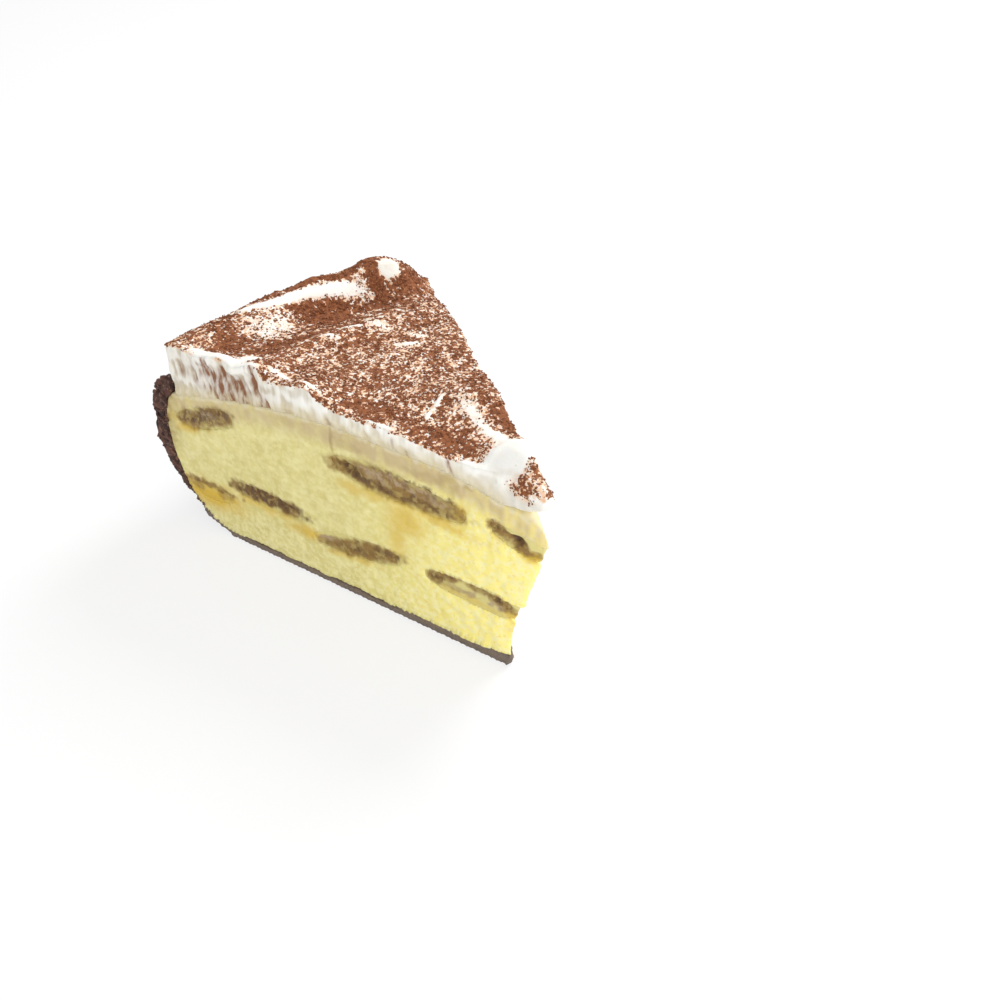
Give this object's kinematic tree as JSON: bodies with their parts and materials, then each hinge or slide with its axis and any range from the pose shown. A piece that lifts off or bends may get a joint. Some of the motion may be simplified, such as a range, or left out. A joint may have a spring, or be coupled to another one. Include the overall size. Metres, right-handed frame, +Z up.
{
  "type": "tiramisu cheesecake slice",
  "caption": "Wedge of tiramisu cheesecake: crumb crust, pale cheesecake with soaked sponge fingers baked in, and swirled whipped cream dusted with cocoa.",
  "frame": {"origin": "on the crust's flat underside, under the middle of the slice's box", "axes": "+X along the slice's middle line, towards its tip; +Z up; the near cut faces -Y and the far cut faces +Y"},
  "size_m": [0.1466, 0.1012, 0.0727],
  "materials": {
    "crumb_crust": "pressed dark biscuit crumb, coarse and matte (matte_plastic stands in for food)",
    "baked_cheese": "moist pale yellow baked cheese, finely porous (matte_plastic stands in for food)",
    "soaked_sponge": "wet brown sponge with small holes (matte_plastic stands in for food)",
    "whipped_cream": "soft white whipped cream (matte_plastic stands in for food)",
    "cocoa": "dry red-brown cocoa powder in small lumps (matte_plastic stands in for food)"
  },
  "bodies": {
    "root": {"crust": "crumb_crust", "cheesecake": "baked_cheese", "finger_low_1": "soaked_sponge", "finger_low_2": "soaked_sponge", "finger_low_3": "soaked_sponge", "finger_low_4": "soaked_sponge", "finger_up_1": "soaked_sponge", "finger_up_2": "soaked_sponge", "finger_up_3": "soaked_sponge", "whipped_cream": "whipped_cream"}
  },
  "joints": []
}
